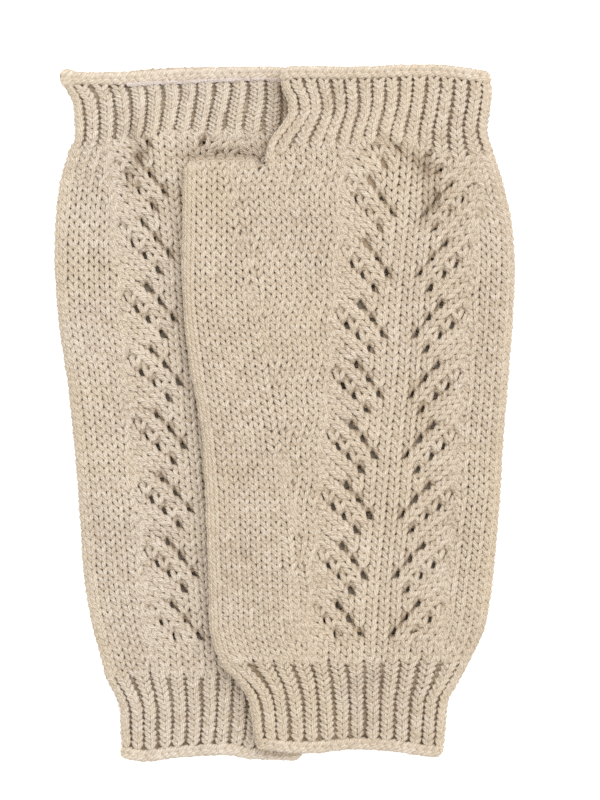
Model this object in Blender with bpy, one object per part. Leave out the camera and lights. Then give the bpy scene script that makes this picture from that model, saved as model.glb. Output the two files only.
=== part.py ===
"""A pair of knitted wool gloves without fingers, laid flat, the one overlapping the other.

Each glove is a flattened knitted tube: a plain body with a lace panel and a thumb gusset, a ribbed cuff for
the fingers, a ribbed cuff for the wrist, and a rolled cast-off edge round each opening. The two gloves
mirror each other. X runs across the pair, Y from the wrists to the fingers, and Z up from the table.
"""

import math
from collections import namedtuple

import bmesh
import bpy
import numpy as np

MM = 0.001

# Driving sizes, in millimetres
WALL = 2.4  # a knitted wall, two crossings of the yarn thick
LOFT = 6.6  # one glove lying flat: both walls, with a little slack between them
SEAM_GAP = 0.3  # between pieces that are knitted or sewn together
FINGER_RIM = 3.4  # height of the rolled cast-off edge round the finger opening
WRIST_RIM = 3.0  # height of the edge where the wrist cuff was cast on
THUMB_RIM = 2.6  # height of the rolled edge round the thumb opening
RIM_PEEK = 1.2  # how far the hidden wall of a finger or thumb opening stands above the front one
RIB_DEPTH = 1.1  # from the top of a rib to the valley beside it
EYELET_DEPTH = 0.8  # how far the lace sinks along its lines of eyelets
LACE_HALF = 24.7  # from the middle of the lace panel to its border
DROP_START = 3.0  # the upper glove keeps its height this far past the lower one,
DROP_LENGTH = 16.0  # and takes this long to come down to the table
FOLD_BULGE = 0.7  # a free side fold stands this much prouder than the middle of the glove,
FOLD_BULGE_IN = 6.0  # this far in from the silhouette,
FOLD_BULGE_WIDTH = 4.5  # and is this wide
SEAM_BLEND = 20.0  # the body's last rows bend into the line of its upper seam over this length
CUFF_BEVEL = 2.3  # a cuff's inside is this much shorter at each end
STEEP_REACH = 0.7  # a cuff clears this much of a steep seam to both sides
BEND_STEP = 5.0  # the longest straight run where the upper glove bends
CUFF_CORNER = 84.0  # the height at which a finger cuff's lower corners are looked up
CREASE_FADE = 8.0  # creases pass from the body's edges to the cuff's over this length
LACE_SHARE = 0.94  # the lace takes at most this share of the room beside its middle
ROW_CLEAR = 0.4  # the body's rings keep this share of a pair of rows clear of its ends
KNOT_CLEAR = 1.0  # a seam's points keep this clear of its ends
RIM_START = 0.88  # where the finger rim starts, as a share of the way up the finger cuff
RIM_POINTS = 13  # points across a rim's flat walls
CUFF_SHARES = (0.0, 0.25, 0.5, 0.75, 1.0)  # a cuff's rings, as shares of its height
CENTRE_X = 0.7033  # the middle of the pair, in the frame that the tables below are in
CENTRE_Y = 0.0408

Edges = namedtuple("Edges", "along left right")
Point = namedtuple("Point", "across along")
Trough = namedtuple("Trough", "glove start end depth half_width")


def table(kind, rows):
    return [kind(*row) for row in rows]


# The silhouette of the body and wrist cuff: along the hand, left edge, right edge
BODY_EDGES = {
    "over": table(
        Edges,
        (
            (-110.7, -7.3, 51.8),
            (-104.5, -9.6, 53.1),
            (-99.0, -10.2, 53.5),
            (-93.4, -11.4, 54.2),
            (-87.6, -15.1, 57.6),
            (-82.4, -20.0, 60.6),
            (-76.5, -22.6, 63.9),
            (-69.7, -24.1, 66.5),
            (-54.1, -24.4, 68.9),
            (-26.2, -25.4, 71.3),
            (-11.2, -26.2, 72.3),
            (1.1, -27.9, 73.2),
            (14.1, -30.3, 74.1),
            (33.3, -32.6, 75.7),
            (45.7, -33.0, 76.0),
            (58.3, -32.9, 75.4),
            (73.3, -32.5, 72.5),
            (84.7, -31.5, 69.1),
        ),
    ),
    "under": table(
        Edges,
        (
            (-112.6, -52.5, 5.7),
            (-104.5, -52.9, 9.6),
            (-98.3, -53.1, 10.2),
            (-93.4, -54.3, 11.5),
            (-88.2, -57.0, 14.8),
            (-83.4, -58.7, 19.7),
            (-78.5, -59.8, 21.9),
            (-73.3, -61.4, 23.6),
            (-54.1, -64.8, 24.2),
            (-26.2, -67.0, 25.5),
            (-13.8, -67.9, 26.0),
            (-1.5, -69.2, 27.8),
            (11.2, -70.7, 30.4),
            (34.6, -73.7, 32.8),
            (52.2, -74.6, 33.3),
            (61.3, -74.2, 33.1),
            (75.6, -72.5, 32.7),
            (85.0, -69.7, 31.4),
        ),
    ),
}

# The silhouette of the finger cuff and its rim: along the hand, left edge, right edge
FINGER_EDGES = {
    "over": table(
        Edges,
        (
            (81.4, -6.0, 69.6),
            (84.7, -4.8, 68.7),
            (86.9, -3.4, 67.9),
            (91.2, -0.2, 67.0),
            (95.4, 1.6, 67.3),
            (99.0, 1.4, 67.8),
            (103.8, -0.5, 68.3),
            (106.8, -1.0, 68.2),
            (111.3, 0.3, 66.4),
        ),
    ),
    "under": table(
        Edges,
        (
            (81.4, -71.0, 4.4),
            (85.0, -69.5, 3.0),
            (88.1, -68.1, 2.2),
            (93.1, -67.9, 1.9),
            (98.6, -68.2, 2.0),
            (102.4, -68.9, 2.2),
            (104.8, -70.4, 2.5),
            (108.7, -71.7, 3.0),
            (110.7, -71.0, 3.4),
        ),
    ),
}

# The lines that the pieces end on: the body's top, the finger rim's top, the wrist rim's foot
BODY_TOP = {
    "over": table(
        Point,
        (
            (-32.6, 79.0),
            (-20.0, 79.0),
            (-7.0, 79.0),
            (-4.8, 83.0),
            (-2.4, 85.0),
            (5.7, 85.6),
            (18.7, 86.9),
            (33.3, 88.4),
            (44.7, 86.9),
            (54.4, 84.0),
            (67.4, 83.4),
        ),
    ),
    "under": table(
        Point,
        (
            (-69.7, 85.0),
            (-62.6, 85.0),
            (-56.1, 86.6),
            (-47.9, 89.5),
            (-36.6, 90.5),
            (-17.1, 90.5),
            (-2.4, 89.9),
            (0.5, 86.0),
            (3.1, 83.0),
            (5.7, 79.0),
            (19.0, 79.0),
            (33.0, 79.0),
        ),
    ),
}
FINGER_TOP = {
    "over": table(
        Point,
        (
            (-0.5, 110.4),
            (3.7, 110.9),
            (18.7, 111.2),
            (30.1, 111.6),
            (39.2, 112.3),
            (48.6, 112.3),
            (60.9, 110.8),
            (66.8, 109.8),
        ),
    ),
    "under": table(
        Point,
        (
            (-71.7, 110.2),
            (-65.8, 109.7),
            (-54.1, 109.5),
            (-41.4, 110.1),
            (-29.1, 110.8),
            (-16.7, 111.3),
            (-7.3, 111.6),
            (3.4, 111.0),
        ),
    ),
}
WRIST_FOOT = {
    "over": table(
        Point,
        (
            (-6.7, -109.5),
            (7.6, -110.3),
            (21.3, -109.5),
            (36.6, -110.5),
            (49.2, -112.2),
            (52.5, -111.4),
        ),
    ),
    "under": table(
        Point,
        (
            (-52.5, -112.4),
            (-43.7, -113.4),
            (-34.6, -112.3),
            (-19.0, -111.6),
            (-9.6, -112.9),
            (2.8, -113.2),
            (6.7, -112.2),
        ),
    ),
}

# Each glove's own sizes: the body's first and last row, the middle line of the lace, the rows of its
# knitting in pairs, the thumb's side and opening, and the ribs on the front of each cuff
GLOVES = {
    "over": {
        "start": -81.4,
        "end": 79.0,
        "axis_at": Point(37.9, 25.2),
        "axis_lean": 0.0765,
        "row_step": 4.9,
        "first_eyelet": -53.6,
        "thumb_side": -1,
        "thumb_span": (-32.4, -7.4),
        "finger_ribs": 14,
        "wrist_ribs": 12,
        "free_folds": (-1, 1),
        "lace_sides": (-1, 1),
    },
    "under": {
        "start": -86.0,
        "end": 79.0,
        "axis_at": Point(-28.4, 9.3),
        "axis_lean": -0.0785,
        "row_step": 5.18,
        "first_eyelet": -53.0,
        "thumb_side": 1,
        "thumb_span": (6.1, 32.8),
        "finger_ribs": 12,
        "wrist_ribs": 12,
        "free_folds": (-1,),
        "lace_sides": (-1,),
    },
}

# Soft troughs in the upper wall, at the upper end of the lace
TROUGHS = table(
    Trough,
    (
        ("over", Point(32.7, 87.5), Point(46.3, 78.8), 1.0, 2.6),
        ("over", Point(46.3, 78.8), Point(49.2, 66.8), 1.2, 2.8),
        ("over", Point(49.2, 66.8), Point(45.0, 61.0), 0.7, 2.4),
        ("under", Point(-49.5, 91.0), Point(-45.6, 84.0), 0.9, 2.4),
        ("under", Point(-45.6, 84.0), Point(-50.2, 73.5), 1.1, 2.6),
    ),
)

# Lace stations, out from its middle, and the ones that hold an eyelet in each pair of rows of a repeat
LACE_STEPS = (5.2, 9.1, 13.0, 16.9, 20.8, LACE_HALF)
EYELET_ROWS = ((0, 2), (1, 3), (2, 4), (1,))

# Stations in the plain knitting beside the lace: on the thumb's side the places in x that they have in the
# body's last row, between the fold and the lace, and on the other side the share of the way
THUMB_STATIONS = {
    "over": (-24.0, -15.0, -7.0, -4.8, -2.4, 5.7, 11.5),
    "under": (24.0, 15.0, 5.7, 3.1, 0.5, -2.4),
}
OUTER_STATION = 0.5
FOLD_ANGLES = (60, 20, -20, -60)

# A rib from valley to valley: share of its width, share of its depth
RIB_SHAPE = ((0.0, 1.0), (0.24, 0.12), (0.5, 0.0), (0.76, 0.12))

# The roll of a cast-off edge: share of its height, how far it is drawn in there
ROLL_SHAPE = ((0.0, 0.8), (0.25, 0.12), (0.55, 0.0), (0.85, 0.45), (1.0, 1.05))

WOOL = (0.67, 0.56, 0.42)


def curve_through(rows, column):
    """A smooth curve through a table's rows that never overshoots them.

    Its slope at a row is the harmonic mean of the slopes on both sides, or nought at a peak.
    """
    rows = np.array(rows, float)
    rows = rows[np.argsort(rows[:, 0])]
    at = rows[:, 0]
    value = rows[:, column]
    step = np.diff(at)
    rise = np.diff(value) / step
    slope = np.zeros(len(at))
    same_way = rise[:-1] * rise[1:] > 0
    mean = 2 * rise[:-1] * rise[1:] / np.where(same_way, rise[:-1] + rise[1:], 1)
    slope[1:-1] = np.where(same_way, mean, 0)
    slope[0] = rise[0]
    slope[-1] = rise[-1]

    def value_at(where):
        where = np.clip(np.asarray(where, float), at[0], at[-1])
        k = np.clip(np.searchsorted(at, where) - 1, 0, len(step) - 1)
        t = (where - at[k]) / step[k]
        start = (2 * t**3 - 3 * t**2 + 1) * value[k] + (t**3 - 2 * t**2 + t) * step[k] * slope[k]
        end = (3 * t**2 - 2 * t**3) * value[k + 1] + (t**3 - t**2) * step[k] * slope[k + 1]
        return start + end

    return value_at


def straight_through(places, line):
    """The line made of straight runs between its points at the given places in x."""
    places = np.sort(np.asarray(places, float))
    heights = line(places)
    return lambda x: np.interp(x, places, heights)


def raised(line, by):
    return lambda x: line(x) + by


def clear_of(line):
    """A line that keeps the seam's gap above another, also where that one is steep."""
    return lambda x: np.max([line(x - STEEP_REACH), line(x), line(x + STEEP_REACH)], axis=0) + SEAM_GAP


def between(low, high, share):
    """A line that lies a share of the way from one line to another."""
    return lambda x: low(x) + share * (high(x) - low(x))


def ease(t):
    """Rises smoothly from 0 to 1."""
    t = np.clip(t, 0.0, 1.0)
    return t * t * (3 - 2 * t)


body_left = {glove: curve_through(rows, 1) for glove, rows in BODY_EDGES.items()}
body_right = {glove: curve_through(rows, 2) for glove, rows in BODY_EDGES.items()}
finger_left = {glove: curve_through(rows, 1) for glove, rows in FINGER_EDGES.items()}
finger_right = {glove: curve_through(rows, 2) for glove, rows in FINGER_EDGES.items()}
body_top = {glove: curve_through(rows, 1) for glove, rows in BODY_TOP.items()}
finger_top = {glove: curve_through(rows, 1) for glove, rows in FINGER_TOP.items()}
wrist_foot = {glove: curve_through(rows, 1) for glove, rows in WRIST_FOOT.items()}


def support(glove, x, y):
    """Height of what a glove lies on: the table, or for the upper one the lower glove and its slopes."""
    if glove == "under":
        return np.zeros(np.shape(x))
    top = GLOVES["under"]["end"] + SEAM_GAP + THUMB_RIM + RIM_PEEK
    beside_body = np.maximum(0, x - body_right["under"](np.minimum(y, top)))
    above_body = np.maximum(0, y - top)
    from_body = np.hypot(beside_body, above_body)
    beside_cuff = np.maximum(0, x - finger_right["under"](y))
    from_cuff = np.where(y < top, from_body, beside_cuff)
    away = np.minimum(from_body, from_cuff) - DROP_START
    return (LOFT + SEAM_GAP) * (1 - ease(away / DROP_LENGTH))


def creases(glove, x, y):
    """Height of the soft troughs and of the free side folds at points of a glove's upper wall."""
    height = np.zeros(np.shape(x))
    in_cuff = ease((y - GLOVES[glove]["end"]) / CREASE_FADE)
    left = body_left[glove](y) * (1 - in_cuff) + finger_left[glove](y) * in_cuff
    right = body_right[glove](y) * (1 - in_cuff) + finger_right[glove](y) * in_cuff
    for trough in TROUGHS:
        if trough.glove != glove:
            continue
        run = np.subtract(trough.end, trough.start)
        from_x = x - trough.start.across
        from_y = y - trough.start.along
        along = np.clip((from_x * run[0] + from_y * run[1]) / (run @ run), 0, 1)
        away = np.hypot(from_x - along * run[0], from_y - along * run[1])
        height -= trough.depth * np.exp(-((away / trough.half_width) ** 2))
    for side in GLOVES[glove]["free_folds"]:
        inside = x - left if side < 0 else right - x
        bulge = FOLD_BULGE * np.exp(-(((inside - FOLD_BULGE_IN) / FOLD_BULGE_WIDTH) ** 2))
        height += bulge * np.abs(2 * in_cuff - 1)
    return height


# What a ring of a tube spans: its left and right edges, and its upper and lower walls' lines along the hand
Span = namedtuple("Span", "left right upper lower")


def flat_part(span):
    """The ends of a ring's flat walls, between its two folds."""
    return span.left + LOFT / 2, span.right - LOFT / 2


def ring(glove, span, tops, bottoms, inset, relief=0, fold_angles=FOLD_ANGLES):
    """One flattened ring, from its right fold over the top, down the left fold and back below.

    tops and bottoms are places in x on its two flat walls. The inset draws it in from the silhouette all
    round, and the relief lowers single points of the upper wall. Returns the points, in millimetres, and
    how far round each one is.
    """
    radius = LOFT / 2
    flat = flat_part(span)
    angles = np.radians(fold_angles)
    reach = (radius - inset) * np.cos(angles)
    lift = radius + (radius - inset) * np.sin(angles)
    x = np.concatenate([tops, flat[0] - reach, bottoms, flat[1] + reach[::-1]])
    upper_heights = LOFT - inset - relief * np.ones(len(tops))
    z = np.concatenate([upper_heights, lift, np.full(len(bottoms), inset), lift[::-1]])
    is_upper = np.concatenate([np.ones(len(tops)), angles > 0, np.zeros(len(bottoms)), angles[::-1] > 0]) > 0
    y = np.where(is_upper, span.upper(x), span.lower(x))
    z += np.where(is_upper, creases(glove, x, y), 0)
    z += support(glove, x, y)
    width = flat[1] - flat[0]
    turn = radius * (math.pi / 2 - angles)
    whole_turn = radius * math.pi
    way_round = np.concatenate(
        [flat[1] - tops, width + turn, width + whole_turn + bottoms - flat[0], 2 * width + whole_turn + turn]
    )
    return np.column_stack([x - CENTRE_X, y - CENTRE_Y, z]), way_round


def zip_rings(mesh, first, first_way, second, second_way):
    """Closes the strip between two rings of unlike numbers of points by walking round both at once."""
    i = 0
    j = 0
    while i < len(first) or j < len(second):
        next_i = first_way[i + 1] if i + 1 < len(first) else np.inf
        next_j = second_way[j + 1] if j + 1 < len(second) else np.inf
        here = first[i % len(first)]
        there = second[j % len(second)]
        if j >= len(second) or (i < len(first) and next_i <= next_j):
            mesh.faces.new((here, first[(i + 1) % len(first)], there))
            i += 1
        else:
            mesh.faces.new((here, second[(j + 1) % len(second)], there))
            j += 1


def join_rings(mesh, rings, lean_of):
    """The wall between rings of like numbers of points; the lean chooses the diagonal that cuts a face."""
    for low, high in zip(rings, rings[1:]):
        for i in range(len(low)):
            j = (i + 1) % len(low)
            lean = lean_of(i)
            if lean > 0:
                mesh.faces.new((low[i], low[j], high[i]))
                mesh.faces.new((low[j], high[j], high[i]))
            elif lean < 0:
                mesh.faces.new((low[i], low[j], high[j]))
                mesh.faces.new((low[i], high[j], high[i]))
            else:
                mesh.faces.new((low[i], low[j], high[j], high[i]))


def tube(name, outer, inner, material, collection, lean_of=lambda i: 0):
    """A knitted wall: outer rings with their relief, a plain inside of fewer points, open at both ends."""
    mesh = bmesh.new()
    outside = [[mesh.verts.new(point * MM) for point in points] for points, _ in outer]
    inside = [[mesh.verts.new(point * MM) for point in points] for points, _ in inner]
    join_rings(mesh, outside, lean_of)
    join_rings(mesh, inside, lambda i: 0)
    for end in (0, -1):
        zip_rings(mesh, outside[end], outer[end][1], inside[end], inner[end][1])
    bmesh.ops.recalc_face_normals(mesh, faces=mesh.faces)
    data = bpy.data.meshes.new(name)
    mesh.to_mesh(data)
    mesh.free()
    data.shade_smooth()
    data.materials.append(material)
    made = bpy.data.objects.new(name, data)
    collection.objects.link(made)


def body_rows(glove):
    """The body's rows: every second row of the knitting, in step with the eyelets, and one at each end."""
    sizes = GLOVES[glove]
    step = sizes["row_step"]
    first = math.ceil((sizes["start"] - sizes["first_eyelet"]) / step + ROW_CLEAR)
    last = math.floor((sizes["end"] - sizes["first_eyelet"]) / step - ROW_CLEAR)
    rows = [(sizes["first_eyelet"] + step * k, k) for k in range(first, last + 1)]
    return [(sizes["start"], None), *rows, (sizes["end"], None)]


def body_span(glove, y):
    """A row of the body, which bends into the upper seam near the fingers."""
    sizes = GLOVES[glove]
    blend = ease((y - sizes["end"] + SEAM_BLEND) / SEAM_BLEND)

    def bent(x):
        return y + blend * (body_top[glove](x) - sizes["end"])

    left = float(body_left[glove](bent(body_left[glove](y))))
    right = float(body_right[glove](bent(body_right[glove](y))))
    return Span(left, right, bent, bent)


def lace_lines(glove, y):
    """The middle of the lace panel, how far the glove's edge squeezes it, and where it and the folds end."""
    sizes = GLOVES[glove]
    flat = flat_part(body_span(glove, y))
    axis = sizes["axis_at"].across + sizes["axis_lean"] * (y - sizes["axis_at"].along)
    outer_edge = flat[1] if sizes["thumb_side"] < 0 else flat[0]
    squeeze = min(1.0, LACE_SHARE * abs(outer_edge - axis) / LACE_HALF)
    edges = {-1: flat[0], 1: flat[1]}
    borders = {side: axis + side * LACE_HALF * squeeze for side in (-1, 1)}
    return axis, squeeze, edges, borders


def thumb_shares(glove):
    """The stations beside the lace on the thumb's side, as shares of the way from the fold to the lace."""
    side = GLOVES[glove]["thumb_side"]
    _, _, edges, borders = lace_lines(glove, GLOVES[glove]["end"])
    return [(place - edges[side]) / (borders[side] - edges[side]) for place in THUMB_STATIONS[glove]]


def body_stations(glove, y):
    """Places in x on the body's upper wall from right to left, and the side and lace step of each."""
    axis, squeeze, edges, borders = lace_lines(glove, y)
    halves = []
    for side in (1, -1):
        inner_shares = thumb_shares(glove) if side == GLOVES[glove]["thumb_side"] else [OUTER_STATION]
        width = borders[side] - edges[side]
        plain = [(edges[side] + width * share, None) for share in [0.0, *inner_shares]]
        steps = list(enumerate(LACE_STEPS))[::-1]
        lace = [(axis + side * step * squeeze, (side, number)) for number, step in steps]
        halves.append(plain + lace)
    return halves[0] + [(axis, "middle")] + halves[1][::-1]


def seam_shares(glove, flat):
    """The points of the body's upper seam that lie between two places in x, as shares of the way.

    On the upper glove, which bends over the lower one, more are added wherever two lie too far apart.
    """
    lowest, highest = flat[0] + KNOT_CLEAR, flat[1] - KNOT_CLEAR
    knots = [point.across for point in BODY_TOP[glove] if lowest < point.across < highest]
    places = [flat[0], *knots, flat[1]]
    longest = BEND_STEP if glove == "over" else LACE_HALF
    filled = [
        np.linspace(low, high, math.ceil((high - low) / longest), endpoint=False)
        for low, high in zip(places, places[1:])
    ]
    return (np.concatenate([*filled, [flat[1]]]) - flat[0]) / (flat[1] - flat[0])


def body_underside(glove, y):
    """Places in x on the body's lower wall from left to right; on its last row they are the seam's points."""
    shares = seam_shares(glove, flat_part(body_span(glove, GLOVES[glove]["end"])))
    flat = flat_part(body_span(glove, y))
    return flat[0] + (flat[1] - flat[0]) * shares


def seam_lines(glove):
    """The body's upper end as its upper and lower walls have it, in straight runs between their points."""
    end = GLOVES[glove]["end"]
    upper = straight_through([place for place, _ in body_stations(glove, end)], body_top[glove])
    lower = straight_through(body_underside(glove, end), body_top[glove])
    return upper, lower


def make_body(glove, material, collection):
    sizes = GLOVES[glove]
    outer = []
    inner = []
    rows = body_rows(glove)
    for number, (y, pair_of_rows) in enumerate(rows):
        span = body_span(glove, y)
        stations = body_stations(glove, y)
        places = np.array([place for place, _ in stations])
        below = body_underside(glove, y)
        relief = np.zeros(len(places))
        for i, (_, mark) in enumerate(stations):
            if pair_of_rows is None or mark in (None, "middle"):
                continue
            if mark[0] in sizes["lace_sides"] and mark[1] in EYELET_ROWS[pair_of_rows % 4]:
                relief[i] = EYELET_DEPTH
        outer.append(ring(glove, span, places, below, 0, relief))
        if number % 3 == 0 or number == len(rows) - 1:
            inner.append(ring(glove, span, below[::-1], below, WALL, 0, (0,)))
    middle = [mark for _, mark in stations].index("middle")

    def lean_of(i):
        if i >= len(stations) - 1:
            return 0
        return 1 if i < middle else -1

    tube(f"{glove}_body", outer, inner, material, collection, lean_of)


def rib_stations(flat, ribs):
    """Places in x across a ribbed wall from right to left, and how deep each lies."""
    width = (flat[1] - flat[0]) / ribs
    places = [flat[1] - width * (rib + share) for rib in range(ribs) for share, _ in RIB_SHAPE]
    depths = [RIB_DEPTH * depth for _ in range(ribs) for _, depth in RIB_SHAPE]
    return np.array(places + [flat[0]]), np.array(depths + [RIB_DEPTH])


def ribbed_cuff(name, glove, spans, underside, ribs, material, collection):
    """A ribbed cuff; underside gives the places in x on its lower wall as shares from left to right."""
    outer = []
    inner = []
    for number, span in enumerate(spans):
        flat = flat_part(span)
        places, relief = rib_stations(flat, ribs)
        below = flat[0] + (flat[1] - flat[0]) * underside
        outer.append(ring(glove, span, places, below, 0, relief))
        if number % 2 == 0:
            valleys = places[:: len(RIB_SHAPE)]
            shorter = CUFF_BEVEL * (1 - number / 2)
            inside = Span(span.left, span.right, raised(span.upper, shorter), raised(span.lower, shorter))
            inner.append(ring(glove, inside, valleys, valleys[::-1], WALL, 0, (0,)))
    tube(name, outer, inner, material, collection)


def finger_edges(glove, share):
    """The finger cuff's left and right edges, a share of the way from the body to the top of its rim."""
    found = []
    for edge in (finger_left[glove], finger_right[glove]):
        corner = float(edge(CUFF_CORNER))
        low = float(body_top[glove](corner))
        high = float(finger_top[glove](corner))
        found.append(float(edge(low + share * (high - low))))
    return found


def finger_rim_line(glove):
    """Where the finger cuff ends and its rim starts, in straight runs between the rim's points."""
    flat = flat_part(Span(*finger_edges(glove, RIM_START), None, None))
    return straight_through(np.linspace(*flat, RIM_POINTS), raised(finger_top[glove], -FINGER_RIM))


def make_finger_cuff(glove, material, collection):
    upper, lower = seam_lines(glove)
    high = raised(finger_rim_line(glove), -SEAM_GAP)
    underside = seam_shares(glove, flat_part(Span(*finger_edges(glove, 0), None, None)))
    spans = []
    for share in CUFF_SHARES:
        front = between(clear_of(upper), high, share)
        back = between(clear_of(lower), high, share)
        spans.append(Span(*finger_edges(glove, RIM_START * share), front, back))
    ribs = GLOVES[glove]["finger_ribs"]
    ribbed_cuff(f"{glove}_finger_cuff", glove, spans, underside, ribs, material, collection)


def rolled_rim(name, glove, edges, low, height, peek, material, collection):
    """The rolled edge round an opening, drawn in at both of its sides like a cord.

    edges gives its left and right at a share of its height, and low the lines its two walls start on. A
    height below nought rolls downward. peek is how far its lower wall stands beyond the upper one.
    """
    outer = []
    inner = []
    for share, drawn_in in ROLL_SHAPE:
        left, right = edges(share)

        def lower(x, share=share, left=left, right=right):
            across = np.clip((x - left) / (right - left), 0, 1)
            return low[1](x) + share * (height + peek * np.sin(np.pi * across))

        span = Span(left, right, raised(low[0], height * share), lower)
        places = np.linspace(*flat_part(span), RIM_POINTS)
        outer.append(ring(glove, span, places[::-1], places, drawn_in))
        if share in (0.0, 1.0):
            inner.append(ring(glove, span, places[::-1], places, WALL, 0, (0,)))
    tube(name, outer, inner, material, collection)


def make_finger_rim(glove, material, collection):
    line = finger_rim_line(glove)

    def edges(share):
        return finger_edges(glove, RIM_START + (1 - RIM_START) * share)

    name = f"{glove}_finger_rim"
    rolled_rim(name, glove, edges, (line, line), FINGER_RIM, RIM_PEEK, material, collection)


def make_thumb_rim(glove, material, collection):
    upper, lower = seam_lines(glove)
    low = (raised(upper, SEAM_GAP), raised(lower, SEAM_GAP))
    span = GLOVES[glove]["thumb_span"]
    name = f"{glove}_thumb_rim"
    rolled_rim(name, glove, lambda share: span, low, THUMB_RIM, RIM_PEEK, material, collection)


def wrist_edges(glove, y):
    return float(body_left[glove](y)), float(body_right[glove](y))


def wrist_rim_line(glove):
    """Where the wrist cuff ends and its rim starts, in straight runs between the rim's points."""
    start = float(wrist_foot[glove](0.0)) + WRIST_RIM
    flat = flat_part(Span(*wrist_edges(glove, start), None, None))
    return straight_through(np.linspace(*flat, RIM_POINTS), raised(wrist_foot[glove], WRIST_RIM))


def make_wrist_cuff(glove, material, collection):
    start = GLOVES[glove]["start"] - SEAM_GAP
    low = raised(wrist_rim_line(glove), SEAM_GAP)
    spans = []
    for share in CUFF_SHARES:
        line = between(low, lambda x: start + 0 * x, share)
        spans.append(Span(*wrist_edges(glove, float(line(0.0))), line, line))
    ribs = GLOVES[glove]["wrist_ribs"]
    shares = np.linspace(0, 1, RIM_POINTS)
    ribbed_cuff(f"{glove}_wrist_cuff", glove, spans, shares, ribs, material, collection)


def make_wrist_rim(glove, material, collection):
    line = wrist_rim_line(glove)

    def edges(share):
        return wrist_edges(glove, float(wrist_foot[glove](0.0)) + WRIST_RIM * (1 - share))

    name = f"{glove}_wrist_rim"
    rolled_rim(name, glove, edges, (line, line), -WRIST_RIM, 0, material, collection)


def wool(name, shade):
    """Undyed wool yarn: a matt beige fibre."""
    material = bpy.data.materials.new(name)
    material.use_nodes = True
    principled = material.node_tree.nodes["Principled BSDF"]
    principled.inputs["Base Color"].default_value = [c * shade for c in WOOL] + [1.0]
    principled.inputs["Roughness"].default_value = 0.9
    principled.inputs["Metallic"].default_value = 0.0
    return material


def main():
    for old in list(bpy.data.objects):
        bpy.data.objects.remove(old)
    pair = bpy.data.collections.new("knitted_gloves")
    bpy.context.scene.collection.children.link(pair)
    for glove in GLOVES:
        knit = wool(f"{glove}_knit", 1.0)
        rib = wool(f"{glove}_rib", 0.97)
        rim = wool(f"{glove}_rim", 1.03)
        make_body(glove, knit, pair)
        make_finger_cuff(glove, rib, pair)
        make_wrist_cuff(glove, rib, pair)
        make_finger_rim(glove, rim, pair)
        make_thumb_rim(glove, rim, pair)
        make_wrist_rim(glove, rim, pair)


main()
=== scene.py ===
import math

import bpy
import numpy as np
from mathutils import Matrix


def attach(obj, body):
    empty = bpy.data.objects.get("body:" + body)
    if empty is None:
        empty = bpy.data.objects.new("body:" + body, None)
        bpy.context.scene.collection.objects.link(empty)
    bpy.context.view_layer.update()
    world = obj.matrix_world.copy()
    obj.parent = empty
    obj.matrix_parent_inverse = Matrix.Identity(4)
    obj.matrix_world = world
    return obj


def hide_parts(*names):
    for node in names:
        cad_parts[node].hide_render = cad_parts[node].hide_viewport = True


# A pair of fingerless gloves knitted in undyed wool, laid flat, the right one over the left one.
# Every yarn of the knitting is a tube that runs along its row. Lengths are in millimetres, in the frame of
# the tables below, and toFrame turns them into metres in the shared frame.

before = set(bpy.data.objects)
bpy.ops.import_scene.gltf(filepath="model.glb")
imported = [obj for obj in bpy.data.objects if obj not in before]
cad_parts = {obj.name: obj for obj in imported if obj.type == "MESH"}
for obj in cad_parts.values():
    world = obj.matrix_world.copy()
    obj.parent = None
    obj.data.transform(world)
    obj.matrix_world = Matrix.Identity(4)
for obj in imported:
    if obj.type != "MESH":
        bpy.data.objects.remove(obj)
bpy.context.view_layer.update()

# The two gloves

shape = {
    "loft": 6.6,  # a glove lying flat: both walls with the slack between them
    "seam": 0.3,  # between pieces that are knitted on to each other
    "fingerCuff": 22.4,  # heights along the hand, this one a mean
    "fingerRim": 3.4,
    "wristRim": 3.0,
    "thumbRim": 2.6,
    "peek": 1.2,  # the back wall of the thumb's opening stands this far above the front one,
    "fingerPeek": {"over": 0.2, "under": 0.9},  # and that of the finger opening this far
    "dropStart": 3.0,  # the upper glove comes down to the table this far beside the lower one,
    "dropLength": 16.0,  # over this length
    "troughs": 1.4,  # the soft cloth's creases are this many times as deep as the solids'
    "foldBulge": 0.7,  # the cloth swells by this much inside its free folds,
    "foldBulgeIn": 6.0,  # this far from them
    "foldBulgeWidth": 4.5,
    "seamBlend": 20.0,  # the body's last rows bend into the seam over this length
    "yokeFrom": 80.0,  # above the thumb's opening, the side passes from the body's edge to the cuff's
    "yokeBlend": 5.0,
    "rimStart": 0.88,  # share of the finger cuff's height where its rim starts
    "cuffCorner": 84.0,  # the finger cuff's corners are looked up here
    "creaseFade": 8.0,  # the swellings pass from the body's folds to the cuff's over this length
    "centre": (0.7033, 0.0408),  # the middle of the pair's footprint in the tables' frame
}
foldRadius = shape["loft"] / 2
quarterFold = foldRadius * math.pi / 2

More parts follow.
